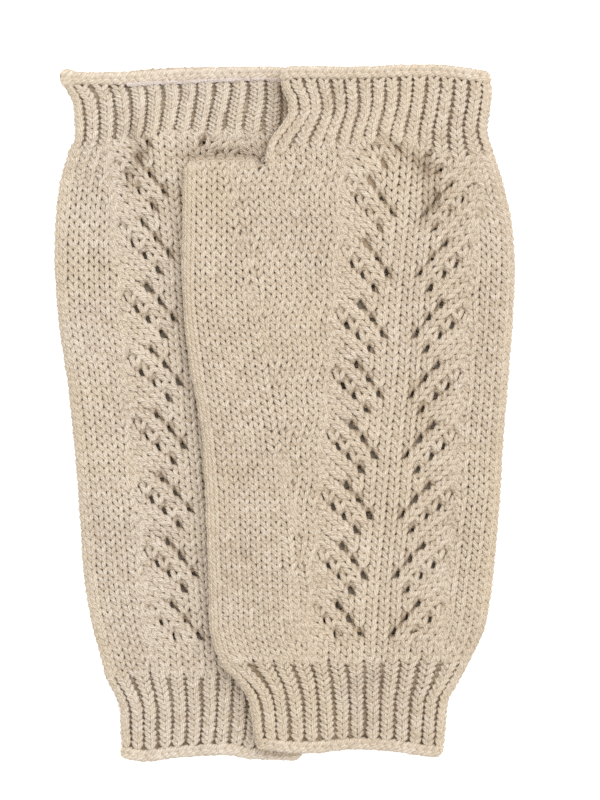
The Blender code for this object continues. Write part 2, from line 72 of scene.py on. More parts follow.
# Silhouette: along the hand, left edge, right edge
bodyEdges = {
    "over": (
        (-110.7, -7.3, 51.8), (-104.5, -9.6, 53.1), (-99.0, -10.2, 53.5), (-93.4, -11.4, 54.2),
        (-87.6, -15.1, 57.6), (-82.4, -20.0, 60.6), (-76.5, -22.6, 63.9), (-69.7, -24.1, 66.5),
        (-54.1, -24.4, 68.9), (-26.2, -25.4, 71.3), (-11.2, -26.2, 72.3), (1.1, -27.9, 73.2),
        (14.1, -30.3, 74.1), (33.3, -32.6, 75.7), (45.7, -33.0, 76.0), (58.3, -32.9, 75.4),
        (73.3, -32.5, 72.5), (84.7, -31.5, 69.1),
    ),
    "under": (
        (-112.6, -52.5, 5.7), (-104.5, -52.9, 9.6), (-98.3, -53.1, 10.2), (-93.4, -54.3, 11.5),
        (-88.2, -57.0, 14.8), (-83.4, -58.7, 19.7), (-78.5, -59.8, 21.9), (-73.3, -61.4, 23.6),
        (-54.1, -64.8, 24.2), (-26.2, -67.0, 25.5), (-13.8, -67.9, 26.0), (-1.5, -69.2, 27.8),
        (11.2, -70.7, 30.4), (34.6, -73.7, 32.8), (52.2, -74.6, 33.3), (61.3, -74.2, 33.1),
        (75.6, -72.5, 32.7), (85.0, -69.7, 31.4),
    ),
}
fingerEdges = {
    "over": (
        (81.4, -6.0, 69.6), (84.7, -4.8, 68.7), (86.9, -3.4, 67.9), (91.2, -0.2, 67.0), (95.4, 1.6, 67.3),
        (99.0, 1.4, 67.8), (103.8, -0.5, 68.3), (106.8, -1.0, 68.2), (111.3, 0.3, 66.4),
    ),
    "under": (
        (81.4, -71.0, 4.4), (85.0, -69.5, 3.8), (88.1, -68.1, 3.4), (93.1, -67.9, 3.5), (98.6, -68.2, 3.5),
        (102.4, -68.9, 3.2), (104.8, -70.4, 3.0), (108.7, -71.7, 3.0), (110.7, -71.0, 3.4),
    ),
}

# Lines that the pieces end on: place across, place along
bodyTop = {
    "over": (
        (-32.6, 79.0), (-20.0, 79.0), (-7.0, 79.0), (-4.8, 83.0), (-2.4, 85.0), (5.7, 85.6), (18.7, 86.9),
        (33.3, 88.4), (44.7, 86.9), (54.4, 84.0), (67.4, 83.4),
    ),
    "under": (
        (-69.7, 85.0), (-62.6, 85.0), (-56.1, 86.6), (-47.9, 89.5), (-36.6, 90.5), (-17.1, 90.5),
        (-2.4, 89.9), (0.5, 86.0), (3.1, 83.0), (5.7, 79.0), (19.0, 79.0), (33.0, 79.0),
    ),
}
fingerTop = {
    "over": (
        (-0.5, 110.4), (3.7, 110.9), (18.7, 111.2), (30.1, 111.6), (39.2, 112.3), (48.6, 112.3),
        (60.9, 110.8), (66.8, 109.8),
    ),
    "under": (
        (-71.7, 110.2), (-65.8, 109.7), (-54.1, 109.5), (-41.4, 110.1), (-29.1, 110.8), (-16.7, 111.3),
        (-7.3, 111.6), (3.4, 111.0),
    ),
}
wristFoot = {
    "over": ((-6.7, -109.5), (7.6, -110.3), (21.3, -109.5), (36.6, -110.5), (49.2, -112.2), (52.5, -111.4)),
    "under": (
        (-52.5, -112.4), (-43.7, -113.4), (-34.6, -112.3), (-19.0, -111.6), (-9.6, -112.9), (2.8, -113.2),
        (6.7, -112.2),
    ),
}

# Soft troughs in the upper wall: start, end, depth, half of the width
troughs = {
    "over": (
        ((32.7, 87.5), (46.3, 78.8), 1.0, 2.6),
        ((46.3, 78.8), (49.2, 66.8), 1.2, 2.8),
        ((49.2, 66.8), (45.0, 61.0), 0.7, 2.4),
    ),
    "under": (
        ((-49.5, 91.0), (-45.6, 84.0), 0.9, 2.4),
        ((-45.6, 84.0), (-50.2, 73.5), 1.1, 2.6),
    ),
}

gloves = {
    "over": {
        "start": -81.4,  # the body starts at the wrist cuff,
        "end": 79.0,  # has the thumb's opening here,
        "top": 86.5,  # and ends at the finger cuff, at this mean height
        "seamFrom": 5.7,  # from here on the seam with the finger cuff runs about level
        "axisAt": (37.9, 25.2),  # the lace's axis goes through this place,
        "axisLean": 0.0765,  # with this slope
        "row": 2.45,
        "firstEyelet": -53.6,
        "thumbSide": -1,  # -1 is left and 1 is right
        "thumbSpan": (-32.4, -7.4),
        "fingerRibs": 14,
        "wristRibs": 12,
        "freeFolds": (-1, 1),  # the sides whose folds lie free
        # where the wales of the thumb's gusset meet those beside the lace
        "gusset": ((-60.0, 6.0), (-16.4, 0.5), (-6.3, -1.0), (3.6, -2.9), (24.2, -6.7), (33.3, -8.5),
                   (52.2, -12.2), (79.0, -18.0)),
    },
    "under": {
        "start": -86.0,
        "end": 79.0,
        "top": 90.0,
        "seamFrom": -2.4,
        "axisAt": (-28.4, 9.3),
        "axisLean": -0.0785,
        "row": 2.59,
        "firstEyelet": -53.0,
        "thumbSide": 1,
        "thumbSpan": (6.1, 32.8),
        "fingerRibs": 12,
        "wristRibs": 12,
        "freeFolds": (-1,),
        "gusset": ((-60.0, -4.0), (79.0, 18.0)),
    },
}


def curveThrough(rows, column):
    # Cubic runs between the rows. A row's slope is the harmonic mean of those beside it, nought at a peak.
    rows = np.array(rows, float)
    rows = rows[np.argsort(rows[:, 0])]
    at = rows[:, 0]
    value = rows[:, column]
    step = np.diff(at)
    rise = np.diff(value) / step
    slope = np.zeros(len(at))
    sameWay = rise[:-1] * rise[1:] > 0
    mean = 2 * rise[:-1] * rise[1:] / np.where(sameWay, rise[:-1] + rise[1:], 1)
    slope[1:-1] = np.where(sameWay, mean, 0)
    slope[0] = rise[0]
    slope[-1] = rise[-1]

    def valueAt(where):
        where = np.clip(np.asarray(where, float), at[0], at[-1])
        k = np.clip(np.searchsorted(at, where) - 1, 0, len(step) - 1)
        t = (where - at[k]) / step[k]
        first = (2 * t**3 - 3 * t**2 + 1) * value[k] + (t**3 - 2 * t**2 + t) * step[k] * slope[k]
        last = (3 * t**2 - 2 * t**3) * value[k + 1] + (t**3 - t**2) * step[k] * slope[k + 1]
        return first + last

    return valueAt


def ease(t):
    # Rises smoothly from 0 to 1
    t = np.clip(t, 0.0, 1.0)
    return t * t * (3 - 2 * t)


def bell(away, width):
    # One at nought, falling off smoothly over the width
    return np.exp(-((away / width) ** 2))


def blended(first, last, share):
    # From the first value to the last one by a share
    return first * (1 - share) + last * share


line = {
    glove: {
        "left": curveThrough(bodyEdges[glove], 1),
        "right": curveThrough(bodyEdges[glove], 2),
        "fingerLeft": curveThrough(fingerEdges[glove], 1),
        "fingerRight": curveThrough(fingerEdges[glove], 2),
        "bodyTop": curveThrough(bodyTop[glove], 1),
        "fingerTop": curveThrough(fingerTop[glove], 1),
        "wristFoot": curveThrough(wristFoot[glove], 1),
        "gusset": curveThrough(gloves[glove]["gusset"], 1),
    }
    for glove in gloves
}


def supportAt(glove, x, y):
    # Height of what a glove lies on: nought, or for the upper one the lower one and an eased slope beside it
    if glove == "under":
        return np.zeros(np.shape(x))
    top = gloves["under"]["end"] + shape["seam"] + shape["thumbRim"] + shape["peek"]
    besideBody = np.maximum(0, x - line["under"]["right"](np.minimum(y, top)))
    fromBody = np.hypot(besideBody, np.maximum(0, y - top))
    besideCuff = np.maximum(0, x - line["under"]["fingerRight"](y))
    fromCuff = np.where(y < top, fromBody, besideCuff)
    away = np.minimum(fromBody, fromCuff) - shape["dropStart"]
    return (shape["loft"] + shape["seam"]) * (1 - ease(away / shape["dropLength"]))


def troughBells(glove, x, y):
    # For each trough its depth, and a bell over the distance from its line
    for start, end, depth, halfWidth in troughs[glove]:
        run = np.subtract(end, start)
        fromX = x - start[0]
        fromY = y - start[1]
        along = np.clip((fromX * run[0] + fromY * run[1]) / (run @ run), 0, 1)
        yield depth, bell(np.hypot(fromX - along * run[0], fromY - along * run[1]), halfWidth)


def creaseAt(glove, x, y):
    # Bell-shaped troughs along their lines, and a bell-shaped swelling inside each free side fold
    height = np.zeros(np.shape(x))
    inCuff = ease((y - gloves[glove]["end"]) / shape["creaseFade"])
    lines = line[glove]
    left = blended(lines["left"](y), lines["fingerLeft"](y), inCuff)
    right = blended(lines["right"](y), lines["fingerRight"](y), inCuff)
    for depth, near in troughBells(glove, x, y):
        height -= shape["troughs"] * depth * near
    for side in gloves[glove]["freeFolds"]:
        inside = x - left if side < 0 else right - x
        bulge = bell(inside - shape["foldBulgeIn"], shape["foldBulgeWidth"])
        height += shape["foldBulge"] * bulge * np.abs(2 * inCuff - 1)
    return height


def makePart(glove, name):
    # A part of a glove: edges(v) gives its left and right, place(x, v, face) the place along the hand, and v
    # runs through the height tall, from low on
    sizes = gloves[glove]
    lines = line[glove]

    def bent(x, v):
        # The last rows bend into the seam with the finger cuff
        farther = np.maximum if sizes["thumbSide"] < 0 else np.minimum
        level = farther(x, sizes["seamFrom"])
        late = ease((v - sizes["top"] + shape["seamBlend"]) / shape["seamBlend"])
        return v + late * (lines["bodyTop"](level) - sizes["top"])

    def bodySides(v):
        # Up to the thumb's opening, looked up at the height of the bent rows
        v = np.minimum(v, sizes["end"])
        return lines["left"](bent(lines["left"](v), v)), lines["right"](bent(lines["right"](v), v))

    def yokeSides(v):
        # Above the thumb's opening: in to the crotch on its side, and on to the cuff's edge on the other
        v = np.maximum(v, sizes["end"])
        sides = []
        for side, whole, narrow in ((-1, "left", "fingerLeft"), (1, "right", "fingerRight")):
            y = bent(lines[narrow](v), v)
            inCuff = ease((y - shape["yokeFrom"]) / shape["yokeBlend"]) if side != sizes["thumbSide"] else 1.0
            sides.append(blended(lines[whole](y), lines[narrow](y), inCuff))
        return sides

    def fingerSides(share):
        # Each side at a share of its own height, from the body to the top of the rim
        sides = []
        for edge in (lines["fingerLeft"], lines["fingerRight"]):
            corner = float(edge(shape["cuffCorner"]))
            low = float(lines["bodyTop"](corner))
            high = float(lines["fingerTop"](corner))
            sides.append(edge(low + share * (high - low)))
        return sides

    def between(low, high, tall):
        # Rows spread evenly between two lines
        return lambda x, v, face: low(x) + v / tall * (high(x) - low(x))

    def rolled(low, tall, edges, up, peek):
        # A rim along a line; the back wall's stands higher by a sine across the opening
        def place(x, v, face):
            left, right = edges(v)
            across = np.clip((x - left) / (right - left), 0, 1)
            high = peek * np.sin(np.pi * across) * (face < 0)
            return low(x) + up * (v + high * v / tall)
        return place

    def asPart(edges, place, tall, low=0.0):
        # What the functions below know of a part
        return {"edges": edges, "place": place, "tall": tall, "low": low}

    overSeam = lambda x: lines["bodyTop"](x) + shape["seam"]
    if name == "body":
        return asPart(bodySides, lambda x, v, face: bent(x, v), sizes["end"] - sizes["start"], sizes["start"])
    if name == "yoke":
        return asPart(yokeSides, lambda x, v, face: bent(x, v), sizes["top"] - sizes["end"], sizes["end"])
    if name == "fingerCuff":
        tall = shape["fingerCuff"]
        edges = lambda v: fingerSides(shape["rimStart"] * v / tall)
        high = lambda x: lines["fingerTop"](x) - shape["fingerRim"] - shape["seam"]
        return asPart(edges, between(overSeam, high, tall), tall)
    if name == "fingerRim":
        tall = shape["fingerRim"]
        edges = lambda v: fingerSides(shape["rimStart"] + (1 - shape["rimStart"]) * v / tall)
        low = lambda x: lines["fingerTop"](x) - tall
        return asPart(edges, rolled(low, tall, edges, 1, shape["fingerPeek"][glove]), tall)
    if name == "thumbRim":
        tall = shape["thumbRim"]
        edges = lambda v: [side + 0 * v for side in sizes["thumbSpan"]]
        return asPart(edges, rolled(overSeam, tall, edges, 1, shape["peek"]), tall)
    if name == "wristCuff":
        high = sizes["start"] - shape["seam"]
        low = lambda x: lines["wristFoot"](x) + shape["wristRim"] + shape["seam"]
        tall = high - float(low(0.0))
        edges = lambda v: (lines["left"](v + high - tall), lines["right"](v + high - tall))
        return asPart(edges, between(low, lambda x: high + 0 * x, tall), tall)
    tall = shape["wristRim"]
    foot = float(lines["wristFoot"](0.0))
    edges = lambda v: (lines["left"](foot + tall - v), lines["right"](foot + tall - v))
    return asPart(edges, rolled(lambda x: lines["wristFoot"](x) + tall, tall, edges, -1, 0), tall)


def foldLines(part, v):
    # The two ends of a wall: the arc coordinate in the middle of the left fold and of the right fold
    left, right = part["edges"](v)
    return left + foldRadius - quarterFold, right - foldRadius + quarterFold


def onCloth(glove, part, face, s, v, lift):
    # A point of the cloth. s is x on the flat wall and goes on as arc length round the folds; face is 1 for
    # the upper wall and -1 for the lower one; lift is the height over the cloth's outside.
    left, right = part["edges"](v)
    flatLeft = left + foldRadius
    flatRight = right - foldRadius
    turn = np.where(s < flatLeft, s - flatLeft, np.where(s > flatRight, s - flatRight, 0)) / foldRadius
    x = np.clip(s, flatLeft, flatRight) + (foldRadius + lift) * np.sin(turn)
    z = foldRadius + face * (foldRadius + lift) * np.cos(turn)
    y = part["place"](x, v, face)
    upperShare = ease(0.5 + face * 0.5 * np.cos(turn))
    z = z + creaseAt(glove, x, y) * upperShare + supportAt(glove, x, y)
    outward = np.stack([np.sin(turn), np.zeros_like(turn), face * np.cos(turn)], axis=-1)
    return np.stack([x, y, z], axis=-1), outward


def toFrame(points):
    # From millimetres in the tables' frame to metres in the shared frame
    return (points - np.array([*shape["centre"], 0.0])) * 0.001


# Building with yarn

yarn = {
    "radius": 0.248,  # as a share of its wale's pitch
    "pitches": (3.2, 3.8),  # narrower and wider wales have no thinner or thicker yarn
    "uneven": 0.04,  # one stitch's yarn is thicker or thinner by about this share
    "end": 0.15,  # the yarn of a row tapers to this share at both ends
    "flatten": 0.92,  # pressed together, so it is thinner than wide
    "bends": 10,  # points along one stitch
    "sides": 5,
    "back": {"bends": 6, "sides": 3},  # fewer for the undersides
    "inset": 1.3,  # from the cloth's outside to the middle of the yarn's swing
    "swing": 0.55,  # how far the legs stand over the heads and feet
    "pinch": 0.27,  # how far a loop's legs swing sideways, in wales
    "reach": 0.84,  # half of a loop's height, in rows
    "crown": 0.34,  # how much lower the yarn lies between two wales
    "deepFrom": 0.5,  # below this depth the wool is painted browner as shade, for light reaches it only through other wool
    "deepBy": 1.2,
}
# How hand-worked cloth differs from even cloth
loose = {
    "wander": 0.175,  # wales and rows wander by this much, in waves,
    "swell": 0.15,  # and the surface swells by this much
    # the lengths of those waves over 2 pi
    "walesWave": (7.1, 11.0, 16.3, 23.0),
    "rowsWave": (9.0, 31.0),
    "swellWave": (8.7, 6.1, 9.3, 21.0),
    # the deviation of single stitches
    "spread": {"across": 0.07, "along": 0.07, "raised": 0.08, "slope": 0.12, "pinch": 0.016},
}
stitchKeys = ("across", "along", "wide", "slope", "drift", "tall", "pinch", "swing", "raised", "crown", "row")


def stitches(**given):
    # A set of stitches as equally long arrays: the centre (across, along), the step to the next wale
    # (wide, slope), the step to the next row (drift, tall), the row and the shape of the loop
    made = {"slope": 0.0, "drift": 0.0, "pinch": yarn["pinch"], "swing": yarn["swing"], "raised": 0.0,
            "crown": yarn["crown"], **given}
    count = np.broadcast(*[made[key] for key in stitchKeys]).shape
    return {key: np.broadcast_to(np.asarray(made[key], float), count).ravel() for key in stitchKeys}


def together(sets):
    # Several sets of stitches as one
    return {key: np.concatenate([each[key] for each in sets]) for key in stitchKeys}


def roughened(made, seed):
    # Uneven stitches: waves, made of sines of the places across and along, shift them across, along and up,
    # and each has small seeded shifts of its own
    chance = np.random.default_rng(seed)
    across, along = made["across"], made["along"]
    a, b, c, d = loose["walesWave"]
    wave = np.sin(along / a + np.sin(across / b)) + np.sin(along / c + across / d)
    waves = {"across": loose["wander"] * wave}
    a, b = loose["rowsWave"]
    waves["along"] = loose["wander"] * np.sin(across / a + along / b)
    a, b, c, d = loose["swellWave"]
    waves["raised"] = loose["swell"] * (np.sin(along / a + across / b) * np.sin(across / c - along / d))
    rough = dict(made)
    for key, spread in loose["spread"].items():
        rough[key] = made[key] + waves.get(key, 0) + chance.normal(0, spread, len(across))
    return rough


def meshPiece(name, points, quads, material, corners=None, looks=None):
    # A mesh of four-sided faces, smooth, with an optional UV map and optional values for each point
    mesh = bpy.data.meshes.new(name)
    mesh.vertices.add(len(points))
    mesh.vertices.foreach_set("co", np.asarray(points, np.float32).ravel())
    mesh.loops.add(quads.size)
    mesh.loops.foreach_set("vertex_index", quads.astype(np.int32).ravel())
    mesh.polygons.add(len(quads))
    mesh.polygons.foreach_set("loop_start", np.arange(0, quads.size, 4, dtype=np.int32))
    mesh.polygons.foreach_set("use_smooth", np.ones(len(quads), bool))
    mesh.update(calc_edges=True)
    if corners is not None:
        mesh.uv_layers.new(name="yarn").data.foreach_set("uv", np.asarray(corners, np.float32).ravel())
    for label, values in (looks or {}).items():
        looked = mesh.attributes.new(label, "FLOAT", "POINT")
        looked.data.foreach_set("value", np.asarray(values, np.float32).ravel())
    mesh.materials.append(material)
    made = bpy.data.objects.new(name, mesh)
    bpy.context.scene.collection.objects.link(made)
    return made


paintedShadow = {
    "rim": 82.3,  # the upper edge of the upper glove's thumb rim
    "share": 0.55,  # the share of painted shadow on the wool beside it,
    "fade": 3.0,  # over this length
    "trough": 0.35,  # the share of painted shade in the troughs
}


def paintedShadowShare(glove, points):
    # Painted shade and shadow as a share: in the troughs, and on the lower glove beside the upper one's thumb
    # rim and finger cuff, where the upper glove shades it, falling off with the distance from them
    x, y = points[:, 0], points[:, 1]
    share = sum(paintedShadow["trough"] * near for _, near in troughBells(glove, x, y))
    if glove == "over":
        return share
    body = line["over"]["left"](y) - x
    cuff = line["over"]["fingerLeft"](y) - x
    thumbEnd = gloves["over"]["thumbSpan"][1]
    away = np.where(x < thumbEnd, np.minimum(np.hypot(y - paintedShadow["rim"], np.maximum(0, body)), cuff), cuff)
    return share + paintedShadow["share"] * (y > paintedShadow["rim"]) * np.exp(-np.maximum(away, 0) / paintedShadow["fade"])


eyelet = {
    "open": (1.2, 1.7),  # half of its width and height
    "least": 0.6,  # the smallest one's share of that
    "faint": 0.45,  # the share at the border
    "shutFrom": 42.0,  # towards the fingers the cloth is slack, and the eyelets are nearly shut
    "shutLength": 14.0,
    "shutBy": {"over": 0.5, "under": 0.3},
    "reach": 4.0,  # yarn farther away than this many half sizes isn't pushed
}


def opened(centres, eyelets):
    # Pushes yarn outwards round each eyelet: its distance d from the middle, in half sizes, becomes the cube
    # root of d cubed and one
    for x, y, share in eyelets:
        half = np.array(eyelet["open"]) * share
        off = (centres[:, :2] - (x, y)) / half
        away = np.hypot(off[:, 0], off[:, 1])
        near = (away < eyelet["reach"]) & (away > 1e-6)
        more = np.cbrt(away[near] ** 3 + 1) / away[near]
        centres[near, :2] = np.array([x, y]) + off[near] * more[:, None] * half
    return centres


foldWarm = {"share": 0.3, "width": 4.5}


def foldWarmth(part, s, v):
    # Wool on a side fold is a little yellower: a bell over the distance from the fold
    return sum(foldWarm["share"] * bell(s - edge, foldWarm["width"]) for edge in part["edges"](v))


def yarnPiece(name, glove, part, face, made, material, seed, bends=yarn["bends"], sides=yarn["sides"],
              radius=None, eyelets=()):
    # The yarn of a set of stitches. Along a stitch the angle t goes once round: across = t / 2 pi - 1/2 +
    # pinch sin 2t, along = -reach cos t, height = -swing cos 2t, so its legs lie over its head and feet.
    # Stitches of one row are joined foot to foot. A ring of points is set square to the yarn at each bend.
    made = roughened(made, seed)
    order = np.lexsort((made["across"], made["row"]))
    made = {key: value[order] for key, value in made.items()}
    col = {key: value[:, None] for key, value in made.items()}
    t = (np.arange(bends) + 0.5) / bends * 2 * np.pi
    p = t / (2 * np.pi) - 0.5 + col["pinch"] * np.sin(2 * t)
    q = -yarn["reach"] * np.cos(t) + 0 * p
    s = (col["across"] + p * col["wide"] + q * col["drift"]).ravel()
    v = (col["along"] + p * col["slope"] + q * col["tall"]).ravel()
    lift = col["raised"] - yarn["inset"] - col["swing"] * np.cos(2 * t) - col["crown"] * (2 * p) ** 2
    lift = lift.ravel()
    centres, outward = onCloth(glove, part, face, s, v, lift)
    centres = opened(centres, eyelets)
    # The yarn's way at each bend, and the two ways square to it
    row = np.repeat(made["row"], bends)
    joined = row[1:] == row[:-1]
    step = np.diff(centres, axis=0) * joined[:, None]
    along = np.vstack([step, np.zeros(3)]) + np.vstack([np.zeros(3), step])
    along /= np.linalg.norm(along, axis=1, keepdims=True)
    beside = np.cross(along, outward)
    beside /= np.linalg.norm(beside, axis=1, keepdims=True)
    above = np.cross(beside, along)
    # The rings
    chance = np.random.default_rng(seed + 1)
    if radius is None:
        radius = yarn["radius"] * np.clip(made["wide"], *yarn["pitches"])
    uneven = radius * (1 + yarn["uneven"] * chance.normal(0, 1, len(order)))
    isEnd = np.append(True, ~joined) | np.append(~joined, True)
    thick = np.repeat(uneven, bends) * np.where(isEnd, yarn["end"], 1)
    angle = np.arange(sides) / sides * 2 * np.pi
    upward = np.cos(angle)[:, None] * above[:, None, :] * yarn["flatten"]
    ring = thick[:, None, None] * (upward + np.sin(angle)[:, None] * beside[:, None, :])
    points = centres[:, None, :] + ring
    points[..., 2] = np.maximum(points[..., 2], 0)  # the table presses the lowest wool flat
    # The faces from each ring to the next, with the places along the yarn and round it as their UV map
    first = np.flatnonzero(joined)
    here = first[:, None] * sides + np.arange(sides)
    turned = first[:, None] * sides + (np.arange(sides) + 1) % sides
    quads = np.stack([here, turned, turned + sides, here + sides], axis=-1).reshape(-1, 4)
    length = np.append(0, np.cumsum(np.linalg.norm(step, axis=1)))
    u = length[first[:, None, None] + np.array([0, 0, 1, 1])]
    w = (np.arange(sides)[:, None] + np.array([0, 1, 1, 0])) / sides
    corners = np.stack(np.broadcast_arrays(u, w), axis=-1).reshape(-1, 2)
    # How each point looks, with painted shade that browns the yarn the deeper it lies below the cloth's
    # outside
    height = lift[:, None] + (ring * outward[:, None, :]).sum(axis=-1)
    deep = np.clip((-height - yarn["deepFrom"]) / yarn["deepBy"], 0, 1)
    # the upper wall also gets painted shade in its troughs and painted shadow beside the upper glove
    if face > 0:
        deep = np.minimum(deep + paintedShadowShare(glove, centres)[:, None], 1)
    shade = np.repeat(chance.normal(0, 1, len(order)), bends * sides)
    warm = np.repeat(foldWarmth(part, s, v), sides)
    piece = meshPiece(name, toFrame(points.reshape(-1, 3)), quads, material, corners,
                      {"shade": shade, "deep": deep, "warm": warm})
    print(f"{name}: {len(order)} stitches, {2 * len(quads)} triangles")
    return piece


# Wool

def linear(hexCode):
    # An sRGB hex colour as linear red, green, blue and alpha
    parts = [int(hexCode[i : i + 2], 16) / 255 for i in (1, 3, 5)]
    return [c / 12.92 if c <= 0.04045 else ((c + 0.055) / 1.055) ** 2.4 for c in parts] + [1.0]


def addNode(tree, kind, settings=None, inputs=None):
    # Adds a node; settings go to its properties, and an input is a value or another node's socket
    node = tree.nodes.new(kind)
    for name, value in (settings or {}).items():
        setattr(node, name, value)
    for name, value in (inputs or {}).items():
        if isinstance(value, bpy.types.NodeSocket):
            tree.links.new(value, node.inputs[name])
        else:
            node.inputs[name].default_value = value
    return node


woolLook = {
    "dark": "#cebaa2",
    "plain": "#e8d8c4",
    "light": "#faeedd",
    "stops": {"dark": 0.39, "plain": 0.52, "light": 0.66},  # the tones that have these colours
    "tone": {"cloud": 0.08, "fleck": 0.55, "fibres": 0.42, "shade": 0.02},  # what a tone is made of
    # the colour of painted shade, for wool down in the cloth where little light reaches
    "deep": "#957a58",
    # painted shade in the grooves between the plies
    "grooveShade": "#b8a284",
    "grooveShadeBy": 0.22,  # the share of that painted shade is up to twice this
    "warm": "#e6d2b2",
    "warmBy": 1.2,  # its share is this times the cloud,
    "warmFrom": 0.55,  # less this, and more on a side fold
    "tints": {"over": (1.0, 1.0, 1.0), "under": (1.04, 1.06, 1.09)},  # the lower glove is a little paler
    "plies": 4,
    "twistLength": 4.6,  # millimetres of yarn to one turn of its plies
    "fibres": 3.0,  # streaks of fibre, drawn coarser than the real 0.03 mm so that they show
    "fibreLength": 1.5,
    "fibreRelief": 1.4,  # times that of the plies
    "relief": 0.0002,  # of the plies, in metres
    "reliefStrength": 0.7,
    "cloud": 26.0,  # millimetres across the soft clouds of yellower wool
    "fleck": 1.3,
}


def woolMaterial(name, deepShare, tint):
    # Worsted-spun undyed sheep's wool: matt, with a faint halo of short fibres that catches light at the rim
    material = bpy.data.materials.new(name)
    material.use_nodes = True
    tree = material.node_tree
    tree.nodes.clear()
    out = addNode(tree, "ShaderNodeOutputMaterial")

    def maths(operation, *values, clamp=False):
        settings = {"operation": operation, "use_clamp": clamp}
        return addNode(tree, "ShaderNodeMath", settings, dict(enumerate(values))).outputs[0]

    def mixed(share, first, second):
        inputs = {"Fac": share, "Color1": first, "Color2": second}
        return addNode(tree, "ShaderNodeMixRGB", {}, inputs).outputs["Color"]

    def noise(vector, scale, detail, roughness):
        inputs = {"Vector": vector, "Scale": scale, "Detail": detail, "Roughness": roughness}
        return addNode(tree, "ShaderNodeTexNoise", {}, inputs).outputs["Fac"]

    def attribute(label):
        return addNode(tree, "ShaderNodeAttribute", {"attribute_name": label}).outputs["Fac"]

    def tinted(label):
        return [part * more for part, more in zip(linear(woolLook[label]), tint + (1.0,))]

    place = addNode(tree, "ShaderNodeTexCoord").outputs["Object"]
    cloud = noise(place, 1000 / woolLook["cloud"], 2.0, 0.5)
    fleck = noise(place, 1000 / woolLook["fleck"], 3.0, 0.7)
    # The plies wind round the yarn: a sine of the place along it and round it
    along = addNode(tree, "ShaderNodeUVMap", {"uv_map": "yarn"}).outputs["UV"]
    split = addNode(tree, "ShaderNodeSeparateXYZ", {}, {"Vector": along})
    turn = maths("MULTIPLY_ADD", split.outputs["X"], 1 / woolLook["twistLength"], split.outputs["Y"])
    plies = maths("SINE", maths("MULTIPLY", turn, 2 * math.pi * woolLook["plies"]))
    # The fibres run with the plies: a noise on a cylinder that turns with them
    angle = maths("MULTIPLY", turn, 2 * math.pi)
    cylinder = addNode(tree, "ShaderNodeCombineXYZ", {}, {
        "X": maths("MULTIPLY", maths("COSINE", angle), woolLook["fibres"]),
        "Y": maths("MULTIPLY", maths("SINE", angle), woolLook["fibres"]),
        "Z": maths("MULTIPLY", split.outputs["X"], 1 / woolLook["fibreLength"])}).outputs["Vector"]
    fibres = noise(cylinder, 1.0, 2.0, 0.8)
    # Colour: clouds, flecks, fibres and a random shade for each stitch, with painted shade darker in the
    # plies' grooves and browner down in the cloth
    share = woolLook["tone"]
    tone = maths("MULTIPLY", fibres, share["fibres"])
    for value, label in ((fleck, "fleck"), (cloud, "cloud"), (attribute("shade"), "shade")):
        tone = maths("MULTIPLY_ADD", value, share[label], tone)
    ramp = addNode(tree, "ShaderNodeValToRGB", {}, {"Fac": tone})
    ramp.color_ramp.elements.new(0.5)
    for stop, (label, position) in zip(ramp.color_ramp.elements, woolLook["stops"].items()):
        stop.position = position
        stop.color = tinted(label)
    yellowed = maths("MULTIPLY_ADD", cloud, woolLook["warmBy"],
                     maths("ADD", attribute("warm"), -woolLook["warmFrom"]), clamp=True)
    # painted shade in the plies' grooves: its share grows where the sine of the plies is low
    grooveShadeShare = maths("MULTIPLY_ADD", plies, -woolLook["grooveShadeBy"], woolLook["grooveShadeBy"])
    colour = mixed(yellowed, ramp.outputs["Color"], tinted("warm"))
    colour = mixed(grooveShadeShare, colour, linear(woolLook["grooveShade"]))
    # painted shade: the yarn is browner where it lies deep in the cloth
    colour = mixed(maths("MULTIPLY", attribute("deep"), deepShare), colour, linear(woolLook["deep"]))
    bump = addNode(tree, "ShaderNodeBump", {}, {
        "Height": maths("MULTIPLY_ADD", fibres, woolLook["fibreRelief"], plies),
        "Strength": woolLook["reliefStrength"], "Distance": woolLook["relief"]})
    surface = addNode(tree, "ShaderNodeBsdfPrincipled", {}, {
        "Base Color": colour, "Normal": bump.outputs["Normal"], "Roughness": 0.9,
        "Specular IOR Level": 0.2, "Sheen Weight": 0.25, "Sheen Roughness": 0.5})
    tree.links.new(surface.outputs["BSDF"], out.inputs["Surface"])
    return material


wool = {
    kind: {
        glove: woolMaterial(f"undyed_wool_{label}_{glove}", deepShare, woolLook["tints"][glove])
        for glove in gloves
    }
    # each kind, its name, and its share of painted shade
    for kind, label, deepShare in (
        ("knit", "stocking_stitch", 0.8), ("rib", "ribbing", 0.75), ("edge", "cast_off", 0.4))
}
paleWool = woolMaterial("undyed_wool_cast_off_strand", 0.0, (1.02, 1.05, 1.22))
# the inner strands' wool, which takes much painted shade
innerWool = woolMaterial("undyed_wool_inner_strands", 0.75, woolLook["tints"]["over"])

# The body: plain wales and the lace

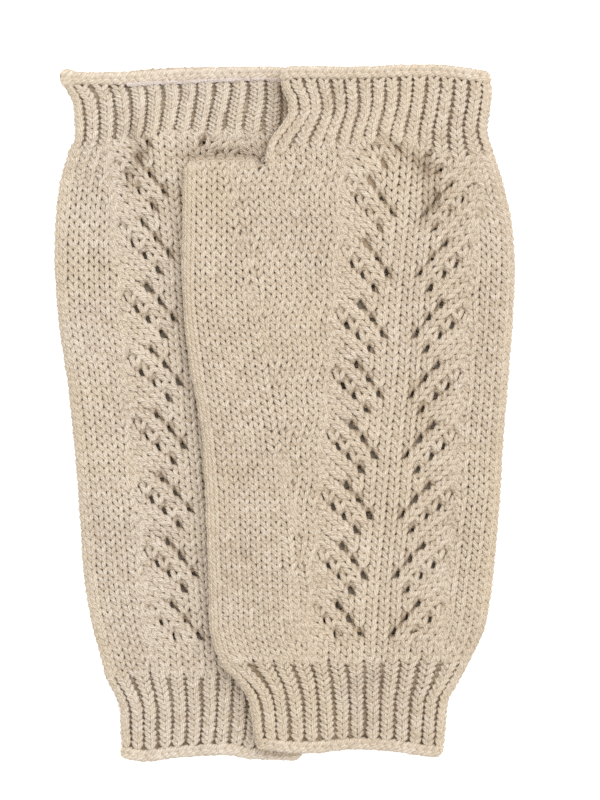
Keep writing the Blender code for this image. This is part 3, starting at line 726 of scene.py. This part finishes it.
lace = {
    "pitch": 3.80,  # from wale to wale
    "stitch": 0.97,  # a stitch's share of that
    "middle": 1.95,  # from the lace's axis to its first wale
    "wales": 6,
    "border": 5.5,  # beyond this place, in wales, the plain knitting takes them in
    "limit": 5.9,  # the last place that such a wale can have
    "borderSunk": 0.35,  # it lies this much lower there
    "merge": 0.7,  # the plain wales' line at the border swings by this much with each repeat
    "holeRise": 0.7,  # a yarn-over arches this many rows above the middle of its eyelet
    "yarnOver": {"pinch": -0.03, "swing": 0.2, "raised": -0.5},
    "yarnOverSize": (1.1, 0.9),  # its width in wales and its height in rows
    # in the even rows of the repeat: where the inner and the outer yarn-over stand, in wales
    "repeat": 8,
    "inner": {0: 1, 2: 2, 4: 3},
    "outer": {6: 2, 0: 3, 2: 4, 4: 5},
    "firstRow": -9,
    "takenIn": 0.4,  # a wale that is taken in ends this far outwards
    "sink": 0.45,  # beyond the inner wales, a row sinks by this slope out to the border
    "sinkFrom": 12.35,
    "sinkTo": 22.85,
    "sinkBlend": 50.0,
    "lean": 0.42,  # where a wale leans outwards, its stitches turn by this slope
    "crowdFrom": 4.5,  # beyond this wale they crowd together, by this share
    "crowd": 0.3,
    "settle": 25.0,  # the rows next to the cuffs are shifted over this length
}
plain = {
    "pitch": 3.3,
    "lastRow": 0.35,  # the last row that goes all round the thumb is this far below its opening, in rows
    "smoothWales": {"over": 2, "under": 0},  # so many wales are smooth, where the thumb's fold stretches them
    "smooth": {"swing": 0.2, "pinch": 0.19, "crown": 0.0, "raised": 0.15},
}


def awayAt(at):
    # The distance from the lace's axis of a place counted in wales
    at = np.asarray(at, float)
    return lace["middle"] + lace["pitch"] * (at - lace["crowd"] * np.maximum(at - lace["crowdFrom"], 0))


laceBorder = float(awayAt(lace["border"]))


def rowPlaces(glove):
    # The rows of the body, counted from the first eyelet's, and their places along the hand. Those near the
    # cuffs are shifted a little, so that half a row is left before each cuff.
    sizes = gloves[glove]
    tall = sizes["row"]
    base = sizes["firstEyelet"] + lace["holeRise"] * tall
    rows = np.arange(math.ceil((sizes["start"] - base) / tall), math.floor((sizes["top"] - base) / tall) + 1)
    v = base + tall * rows
    v = v + (sizes["start"] + 0.5 * tall - v[0]) * ease(1 - (v - v[0]) / lace["settle"])
    v = v + (sizes["top"] - 0.5 * tall - v[-1]) * ease(1 - (v[-1] - v) / lace["settle"])
    return rows, v


def axisAt(glove, v):
    # The lace's axis: a straight line that leans a little
    sizes = gloves[glove]
    return sizes["axisAt"][0] + sizes["axisLean"] * (v - sizes["axisAt"][1])


def sunk(glove, away, v):
    # Rows sink outwards along the lace, by a slope between two distances from its axis, less near the cuffs
    sizes = gloves[glove]
    window = ease((v - sizes["start"]) / lace["sinkBlend"]) * ease((sizes["top"] - v) / lace["sinkBlend"])
    return lace["sink"] * (np.clip(away, lace["sinkFrom"], lace["sinkTo"]) - lace["sinkFrom"]) * window


def lacePlace(glove, side, at, v):
    # Where a place of the lace, counted in wales to one side, lies in a row: across and along
    away = awayAt(at)
    along = v - sunk(glove, away, v)
    return axisAt(glove, along) + side * away, along


def growWales(rows):
    # One half of the lace, row by row. A yarn-over starts a new wale and pushes the ones outside it by one
    # place. The wale beside an outer yarn-over is taken in, and so are those that reach the border.
    wales = [{"rows": [int(rows[0])], "at": [float(k)]} for k in range(lace["wales"])]
    growing = list(wales)
    overs = []
    for row in range(int(rows[0]) + 1, int(rows[-1]) + 1):
        for wale in list(growing):
            here = wale["at"][-1]
            if row % 2:
                there = pushed(here, (row + 1) % lace["repeat"]) if row + 1 >= lace["firstRow"] else here
                halfway = here + lace["takenIn"] if there is None else (here + min(there, here + 1)) / 2
                wale["rows"].append(row)
                wale["at"].append(halfway)
                wale["next"] = there
            else:
                there = wale.pop("next", here)
                if there is None:
                    growing.remove(wale)
                    continue
                wale["rows"].append(row)
                wale["at"].append(min(there, lace["limit"]))
                if there > lace["border"]:
                    growing.remove(wale)
        if row % 2 == 0 and row >= lace["firstRow"]:
            for kind in ("inner", "outer"):
                at = lace[kind].get(row % lace["repeat"])
                if at is not None:
                    overs.append((row, at))
                    growing.append({"rows": [], "at": [float(at)], "born": row})
                    wales.append(growing[-1])
    for wale in wales:
        if "born" in wale:
            wale["at"] = wale["at"][1:]
    return [wale for wale in wales if len(wale["rows"]) > 0], overs


def pushed(here, phase):
    # Where a wale stands after the yarn-overs of a row; nothing if it is taken in
    inner = lace["inner"].get(phase)
    outer = lace["outer"].get(phase)
    if outer is None:
        return here
    if here >= outer:
        return here + 1
    if inner is not None and here >= inner:
        return here + 1 if here < outer - 1 else None
    return here


def laceStitches(glove):
    # Both halves of the lace, and the row and place of each eyelet. A wale's centre follows its place between
    # the rows. Its step to the next row is the difference along it, and it leans wholly where it moves
    # outwards by half a wale in one row.
    rows, base = rowPlaces(glove)
    tall = gloves[glove]["row"]
    wales, overs = growWales(rows)
    wider, taller = lace["yarnOverSize"]
    sets = []
    for side in (-1, 1):
        for wale in wales:
            number = np.array(wale["rows"])
            at = np.array(wale["at"])
            across, along = lacePlace(glove, side, at, base[number - rows[0]])
            drift = np.gradient(across) if len(number) > 1 else 0 * across
            up = np.gradient(along) if len(number) > 1 else 0 * across + tall
            leaning = np.clip(side * drift / (0.5 * lace["pitch"]), 0, 1)
            wide = lace["pitch"] * (lace["stitch"] - lace["crowd"] * (at > lace["crowdFrom"]))
            sets.append(stitches(across=across, along=along, wide=wide, drift=drift, tall=up, row=number,
                                 slope=-side * lace["lean"] * wide * leaning,
                                 raised=-lace["borderSunk"] * (awayAt(at) > laceBorder)))
        for row, at in overs:
            across, along = lacePlace(glove, side, at, base[row - rows[0]])
            sets.append(stitches(across=across, along=along, wide=lace["pitch"] * wider, tall=tall * taller,
                                 row=row, **lace["yarnOver"]))
    return sets, [(row - lace["holeRise"], at) for row, at in overs]


def eyeletPlaces(glove, holes, seed):
    # Where the lace's eyelets are, and a seeded share for the size of each; those at the border are faint
    rows, base = rowPlaces(glove)
    chance = np.random.default_rng(seed + 50)
    places = []
    for side in (-1, 1):
        for row, at in holes:
            across, along = lacePlace(glove, side, at, np.interp(row, rows, base))
            share = chance.uniform(eyelet["least"], 1.0) if at < lace["crowdFrom"] else eyelet["faint"]
            shut = eyelet["shutBy"][glove] * ease((along - eyelet["shutFrom"]) / eyelet["shutLength"])
            places.append((float(across), float(along), float(share * (1 - shut))))
    return places


def filledWales(rows, v, fromLine, toLine, smoothWales=0):
    # Plain wales between two lines, parallel to the first. The last one is as wide as what is left. The first
    # few may be smooth, where a fold stretches them.
    room = np.abs(toLine - fromLine)
    way = np.sign(toLine - fromLine)
    count = np.round(room / plain["pitch"]).astype(int)
    sets = []
    for k in range(count.max()):
        there = count > k
        wide = np.where(count == k + 1, room - k * plain["pitch"], plain["pitch"])
        across = fromLine + way * (k * plain["pitch"] + wide / 2)
        sets.append(stitches(across=across[there], along=v[there], wide=wide[there],
                             drift=np.gradient(across)[there], tall=np.gradient(v)[there], row=rows[there],
                             **(plain["smooth"] if k < smoothWales else {})))
    return sets


def lastThumbRow(glove):
    # The last row that goes all round the thumb; the rows over it belong to the yoke
    rows, v = rowPlaces(glove)
    return rows[v <= gloves[glove]["end"] - plain["lastRow"] * gloves[glove]["row"]][-1]


def ownRows(glove, name):
    # The rows of the body or of the yoke, and their places along the hand
    rows, v = rowPlaces(glove)
    chosen = (rows <= lastThumbRow(glove)) == (name == "body")
    return rows[chosen], v[chosen]


def plainStitches(glove, name):
    # The plain wales beside the lace, out to both folds. On the thumb's side they meet along the gusset, and
    # over the thumb's opening those beside the lace go on to the crotch.
    rows, v = ownRows(glove, name)
    v = v - sunk(glove, laceBorder, v)
    folds = dict(zip((-1, 1), foldLines(makePart(glove, name), v)))
    merging = lace["merge"] * np.sin(2 * np.pi * rows / lace["repeat"])
    borders = {side: axisAt(glove, v) + side * laceBorder + side * merging for side in (-1, 1)}
    side = gloves[glove]["thumbSide"]
    sets = filledWales(rows, v, folds[-side], borders[-side])
    if name == "yoke":
        return sets + filledWales(rows, v, borders[side], folds[side])
    gusset = line[glove]["gusset"](v)
    meet = np.minimum(gusset, borders[-1]) if side < 0 else np.maximum(gusset, borders[1])
    sets += filledWales(rows, v, folds[side], meet, plain["smoothWales"][glove])
    return sets + filledWales(rows, v, borders[side], meet)


def backStitches(glove, name):
    # The lower wall is plain all over, with the same rows, and its wales meet in the middle
    rows, v = ownRows(glove, name)
    foldLeft, foldRight = foldLines(makePart(glove, name), v)
    middle = (foldLeft + foldRight) / 2
    return filledWales(rows, v, foldLeft, middle) + filledWales(rows, v, foldRight, middle)


def makeBody(glove, seed):
    # The upper wall in three pieces, two below the thumb's opening and one above, and the lower wall in two
    laceSets, holes = laceStitches(glove)
    eyelets = eyeletPlaces(glove, holes, seed)
    rows, _ = rowPlaces(glove)
    last = lastThumbRow(glove)
    half = rows[0] + (last - rows[0]) // 2
    pieces = []
    for label, name, low, high in (("lower", "body", -np.inf, half), ("upper", "body", half, last),
                                   ("yoke", "yoke", last, np.inf)):
        front = together(laceSets + plainStitches(glove, name))
        chosen = (front["row"] > low) & (front["row"] <= high)
        front = {key: value[chosen] for key, value in front.items()}
        pieces.append(yarnPiece(f"{glove}_{label}_rows", glove, makePart(glove, name), 1, front,
                                wool["knit"][glove], seed, eyelets=eyelets))
        seed += 2
    for label, name in (("back", "body"), ("back_yoke", "yoke")):
        back = together(backStitches(glove, name))
        pieces.append(yarnPiece(f"{glove}_{label}_rows", glove, makePart(glove, name), -1, back,
                                wool["knit"][glove], seed, **yarn["back"]))
        seed += 2
    return pieces, eyelets


# Ribbed cuffs

rib = {
    "row": 1.8,
    "knitWidth": (2.7, 5.2),  # the least and the greatest
    "purlWidth": 1.25,  # in the valley between two knit wales
    "knit": {"swing": 0.45, "pinch": 0.31, "crown": 0.1, "raised": 0.15},
    "purl": {"swing": -0.25, "pinch": 0.05, "crown": 0.0, "raised": -1.0},
    "foldRib": 0.36,  # a rib stands on each fold at this share of the quarter turn, and the next at its end
    "lean": {"over": 2.5, "under": 3.0},  # the ribs of a finger cuff lean by this much, most at two thirds
    "leanFactor": 6.75,  # makes the lean's curve one there
    "follow": 0.45,  # all the ribs follow the cuff's edges by this share, those next to an edge wholly,
    "spread": 1.6,  # and the difference falls off over this many ribs
    "uneven": 0.16,  # each rib wanders by this much, in a wave of its own
    "unevenTurn": 3.7,
    "unevenLength": 6.0,
    "radius": 0.82,
}


def ribStitches(part, ribs, below, above, lean):
    # One by one rib: a raised knit wale and a sunk purl wale in turn, evenly across the flat wall, with more
    # ribs on each fold. One row more below or above reaches over the body's stitches.
    step = part["tall"] / round(part["tall"] / rib["row"])
    v = np.arange(-below + 0.5, part["tall"] / step + above) * step
    left, right = part["edges"](v)
    flatLeft = left + foldRadius
    flatRight = right - foldRadius
    outer = np.array([1.0, rib["foldRib"]])[:, None] * quarterFold
    k = np.arange(ribs)[:, None]
    share = (k + 0.5) / ribs
    besideLeft = rib["follow"] + (1 - rib["follow"]) * np.exp(-k / rib["spread"])
    besideRight = rib["follow"] + (1 - rib["follow"]) * np.exp((k - ribs + 1) / rib["spread"])
    ownLeft = flatLeft.mean() + besideLeft * (flatLeft - flatLeft.mean())
    ownRight = flatRight.mean() + besideRight * (flatRight - flatRight.mean())
    leaning = lean * rib["leanFactor"] * share**2 * (1 - share) * (1 - v / part["tall"])
    uneven = rib["uneven"] * np.sin(rib["unevenTurn"] * k + v / rib["unevenLength"])
    centres = np.vstack([flatLeft - outer, blended(ownLeft, ownRight, share) - leaning + uneven,
                         flatRight + outer[::-1]])
    rooms = np.diff(centres, axis=0)
    knits = (np.vstack([rooms[:1], rooms]) + np.vstack([rooms, rooms[-1:]])) / 2 - rib["purlWidth"]
    knits = np.clip(knits, *rib["knitWidth"])
    purls = rooms - (knits[1:] + knits[:-1]) / 2
    valleys = centres[:-1] + knits[:-1] / 2 + purls / 2
    return together([
        stitches(across=middle, along=v, wide=wide, drift=np.gradient(middle), tall=step,
                 row=np.arange(len(v)), **rib[kind])
        for kind, middles, widths in (("knit", centres, knits), ("purl", valleys, purls))
        for middle, wide in zip(middles, widths)
    ])


def makeCuff(glove, name, ribs, label, seed):
    # The ribs of both walls of a cuff
    part = makePart(glove, name)
    isFinger = name == "fingerCuff"
    made = ribStitches(part, ribs, int(isFinger), int(not isFinger), rib["lean"][glove] * isFinger)
    ribbed = wool["rib"][glove]
    front = yarnPiece(f"{glove}_{label}_ribs", glove, part, 1, made, ribbed, seed, radius=rib["radius"])
    back = yarnPiece(f"{glove}_{label}_back_ribs", glove, part, -1, made, ribbed, seed + 2, **yarn["back"])
    return [front, back]


# Cast-off edges: a chain of links that lies along the opening

chain = {
    "link": 2.6,
    "width": 0.8,  # as a share of the edge's height
    "loop": {"crown": 0.6, "raised": 0.4, "pinch": 0.30},
    "radius": 1.15,
    "coreAt": 0.76,  # the yarn that the links are knitted round runs at this share of the height
    "core": {"tall": 0.3, "swing": 0.0, "pinch": 0.0, "crown": 0.0, "raised": -0.2},
    "curl": 0.8,  # the lower glove's outer finger corner curls up, and is this much thicker
    "curlWidth": 3.5,
}


def chainStitches(part):
    # Links stand a quarter turn to the wales: their height runs along the edge and their width across it. A
    # nearly straight yarn runs inside them.
    v = part["tall"] / 2
    foldLeft, foldRight = foldLines(part, np.array([v]))
    room = float(foldRight[0] - foldLeft[0])
    count = int(round(room / chain["link"]))
    across = foldLeft[0] + (np.arange(count) + 0.5) / count * room
    links = stitches(across=across, along=v, wide=0.0, slope=part["tall"] * chain["width"],
                     drift=room / count, tall=0.0, row=np.arange(count), **chain["loop"])
    core = stitches(across=across, along=chain["coreAt"] * part["tall"], wide=room / count, row=count,
                    **chain["core"])
    return together([links, core])


# The thumb's opening is cast off loosely
thumbRoll = {
    "rows": ((0.0, 0.0), (1.0, -0.8)),  # how far along and how much raised its rows lie
    "tall": 1.8,
    "corner": 1.6,  # its corner is rounded by this much
    "cornerWidth": 5.0,
}


def thumbStitches(part):
    # The last plain rows roll over the opening's edge
    left, right = foldLines(part, np.array([0.0]))
    count = int(round(float(right[0] - left[0]) / plain["pitch"]))
    step = float(right[0] - left[0]) / count
    across = left[0] + (np.arange(count) + 0.5) * step
    rounded = thumbRoll["corner"] * bell(across - left[0], thumbRoll["cornerWidth"])
    return together([
        stitches(across=across, along=along - rounded, wide=step, tall=thumbRoll["tall"], raised=raised,
                 row=number)
        for number, (along, raised) in enumerate(thumbRoll["rows"])
    ])


strand = {
    "from": -49.6,
    "to": 0.8,
    "pitch": 2.0,
    "radius": 0.75,
    "stitch": {"tall": 0.4, "swing": 0.1, "pinch": 0.0, "crown": 0.0, "raised": 0.9},
}


def paleStrand(seed):
    # A paler yarn runs below the lower glove's finger rim: a row of nearly straight stitches
    part = makePart("under", "fingerCuff")
    across = np.arange(strand["from"], strand["to"], strand["pitch"])
    made = stitches(across=across, along=part["tall"], wide=strand["pitch"], row=0, **strand["stitch"])
    return yarnPiece("under_pale_strand", "under", part, 1, made, paleWool, seed, radius=strand["radius"])


def makeRim(glove, name, label, seed):
    # The edge of both walls of an opening
    part = makePart(glove, name)
    made = thumbStitches(part) if name == "thumbRim" else chainStitches(part)
    radius = None if name == "thumbRim" else np.full(len(made["across"]), chain["radius"])
    if glove == "under" and name == "fingerRim":
        radius *= 1 + chain["curl"] * bell(made["across"] - made["across"][0], chain["curlWidth"])
    edge = wool["edge"][glove]
    front = yarnPiece(f"{glove}_{label}_chain", glove, part, 1, made, edge, seed, radius=radius)
    back = yarnPiece(f"{glove}_{label}_back_chain", glove, part, -1, made, edge, seed + 2, radius=radius)
    return [front, back]


# The cloth under the stitches

ground = {
    "inset": 2.1,  # from the cloth's outside
    "cuffInset": 2.3,
    "step": 1.4,  # the size of its faces
    "hole": (1.6, 2.1),  # half of the largest hole below an eyelet
    "deep": (0.9, 0.1),  # the share of painted shade on the upper and the lower wall
}


def tubeGrid(glove, part, inset, holes):
    # A tube of the cloth: columns go over the upper wall and back under the lower one, rows along the hand.
    # Faces that lie in an eyelet of the upper wall are left out.
    rowCount = int(part["tall"] / ground["step"]) + 2
    v = part["low"] + np.linspace(0, part["tall"], rowCount)
    foldLeft, foldRight = foldLines(part, v)
    colCount = int(np.max(foldRight - foldLeft) / ground["step"]) + 1
    share = np.linspace(0, 1, colCount)
    s = foldLeft[:, None] + (foldRight - foldLeft)[:, None] * share
    vGrid = np.broadcast_to(v[:, None], s.shape)
    walls = []
    for face in (1, -1):
        points, _ = onCloth(glove, part, face, s.ravel(), vGrid.ravel(), np.full(s.size, -inset))
        walls.append(points.reshape(rowCount, colCount, 3))
    grid = np.concatenate([walls[0], walls[1][:, -2:0:-1]], axis=1)
    around = grid.shape[1]
    row, col = np.meshgrid(np.arange(rowCount - 1), np.arange(around), indexing="ij")
    here = row * around + col
    beside = row * around + (col + 1) % around
    quads = np.stack([here, here + around, beside + around, beside], axis=-1)
    middle = (grid[:-1] + grid[1:]) / 2
    middle = (middle + np.roll(middle, -1, axis=1)) / 2
    keep = np.ones(middle.shape[:2], bool)
    for x, y, size in holes:
        half = np.array(ground["hole"]) * size
        inside = ((middle[..., :2] - (x, y)) ** 2 / half**2).sum(axis=-1) < 1
        keep &= ~(inside & (col < colCount - 1))
    # painted shade: the upper wall's inner strands lie in shade below the stitches, the lower wall's hardly
    deep = np.where(np.arange(around) < colCount, *ground["deep"]) + np.zeros((rowCount, 1))
    return grid.reshape(-1, 3), quads[keep], deep.ravel()


def makeGround(glove, eyelets):
    # The tubes of the body, the yoke and the cuffs as one piece
    points = []
    quads = []
    paintedShades = []
    offset = 0
    for name in ("body", "yoke", "fingerCuff", "wristCuff"):
        isCuff = "Cuff" in name
        inset = ground["cuffInset"] if isCuff else ground["inset"]
        found, faces, deep = tubeGrid(glove, makePart(glove, name), inset, [] if isCuff else eyelets)
        points.append(found)
        quads.append(faces + offset)
        paintedShades.append(deep)
        offset += len(found)
    piece = meshPiece(f"{glove}_inner_strands", toFrame(np.vstack(points)), np.vstack(quads), innerWool, None,
                      {"deep": np.concatenate(paintedShades)})
    print(f"{glove} ground: {2 * sum(map(len, quads))} triangles")
    return piece


# Making the pair

nodeOf = {"body": "body", "fingerCuff": "finger_cuff", "wristCuff": "wrist_cuff", "fingerRim": "finger_rim",
          "thumbRim": "thumb_rim", "wristRim": "wrist_rim"}


def claim(pieces, glove, name):
    # The pieces ride on the part's one body and stand for the plain solid
    for piece in pieces:
        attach(piece, "root")
        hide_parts(f"{glove}_{nodeOf[name]}")


def clothArea(piece):
    # The area of a piece's faces, in square metres
    areas = np.zeros(len(piece.data.polygons))
    piece.data.polygons.foreach_get("area", areas)
    return float(areas.sum())


for number, glove in enumerate(gloves):
    seed = 100 * (number + 1)
    bodyPieces, eyelets = makeBody(glove, seed)
    claim(bodyPieces, glove, "body")
    yarnPieces = list(bodyPieces)
    for name, ribs, label in (("fingerCuff", gloves[glove]["fingerRibs"], "finger"),
                              ("wristCuff", gloves[glove]["wristRibs"], "wrist")):
        seed += 10
        made = makeCuff(glove, name, ribs, label, seed)
        claim(made, glove, name)
        yarnPieces += made
    for name, label in (("fingerRim", "finger"), ("thumbRim", "thumb"), ("wristRim", "wrist")):
        seed += 10
        made = makeRim(glove, name, label, seed)
        if glove == "under" and name == "fingerRim":
            made.append(paleStrand(seed + 5))
        claim(made, glove, name)
        yarnPieces += made
    cloth = makeGround(glove, eyelets)
    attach(cloth, "root")
    clothArea(cloth)
    print(f"{glove} glove made")

# Floor, light and camera

studio = {
    "floor": "#f4f4f4",
    "glow": 0.45,
    "floorSize": 3.0,
    "floorDrop": 0.0001,  # just below the gloves, so that the two surfaces don't meet
    "frameHeight": 0.260,  # what the picture shows from top to bottom
    "lookAt": (0.0050, 0.0034, 0.006),
    "distance": 1.6,
    "sensor": 36.0,
    "sky": 0.95,
    "key": 8.5,
    "keyPlace": (0.3, 0.7, 1.1),
    "keySize": 1.1,
}


def acrylicMaterial():
    # A photo table's matt white acrylic sheet, faintly lit from below, so that shadows on it stay light
    material = bpy.data.materials.new("matt_white_acrylic_sheet")
    material.use_nodes = True
    sheet = material.node_tree.nodes["Principled BSDF"]
    sheet.inputs["Base Color"].default_value = linear(studio["floor"])
    sheet.inputs["Roughness"].default_value = 0.95
    sheet.inputs["Emission Color"].default_value = (1, 1, 1, 1)
    sheet.inputs["Emission Strength"].default_value = studio["glow"]
    return material


side, low = studio["floorSize"] / 2, -studio["floorDrop"]
corners = np.array([(-side, -side, low), (side, -side, low), (side, side, low), (-side, side, low)])
floor = meshPiece("backdrop", corners, np.array([[0, 1, 2, 3]]), acrylicMaterial())

world = bpy.data.worlds.new("studio")
bpy.context.scene.world = world
world.use_nodes = True
world.node_tree.nodes["Background"].inputs["Color"].default_value = (1, 1, 1, 1)
world.node_tree.nodes["Background"].inputs["Strength"].default_value = studio["sky"]


def aimed(made, place, target):
    # Turns an object's -Z to the target
    way = np.subtract(target, place)
    made.location = place
    flat = math.hypot(way[0], way[1])
    made.rotation_euler = (math.atan2(flat, -way[2]), 0, math.atan2(-way[0], way[1]) if flat > 1e-9 else 0)


keyData = bpy.data.lights.new("key", "AREA")
keyData.energy = studio["key"]
keyData.size = studio["keySize"]
key = bpy.data.objects.new("key", keyData)
bpy.context.scene.collection.objects.link(key)
aimed(key, studio["keyPlace"], (0, 0, 0))

cameraData = bpy.data.cameras.new("camera")
cameraData.sensor_fit = "VERTICAL"
cameraData.sensor_height = studio["sensor"]
cameraData.lens = studio["sensor"] * studio["distance"] / studio["frameHeight"]
camera = bpy.data.objects.new("camera", cameraData)
bpy.context.scene.collection.objects.link(camera)
aimed(camera, np.add(studio["lookAt"], (0, 0, studio["distance"])), studio["lookAt"])
bpy.context.scene.camera = camera
bpy.context.scene.view_settings.view_transform = "Standard"

print("studio ready")
